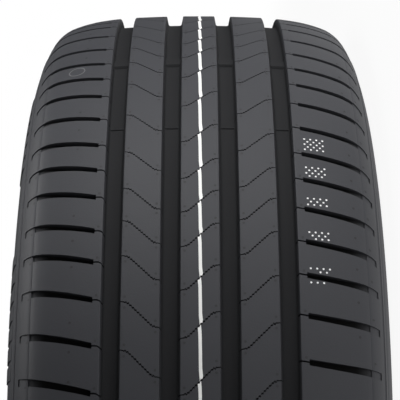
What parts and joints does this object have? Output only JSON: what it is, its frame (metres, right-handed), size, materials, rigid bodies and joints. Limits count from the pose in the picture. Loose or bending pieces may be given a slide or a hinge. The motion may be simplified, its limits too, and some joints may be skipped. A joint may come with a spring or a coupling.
{
  "type": "car tyre",
  "caption": "Low-profile radial road tyre with four circumferential grooves, slanted shoulder slots, curved rib sipes and a rim protector rib, lying on its sidewall.",
  "frame": {"origin": "centre of the tyre: on the spin axis, midway between the two sidewalls", "axes": "+Z along the spin axis, away from the sidewall that the tyre lies on"},
  "size_m": [0.6342, 0.6342, 0.2272],
  "materials": {
    "tread_rubber": "new vulcanised rubber, matt with a soft sheen"
  },
  "bodies": {
    "root": {"tyre": "tread_rubber"}
  },
  "joints": []
}
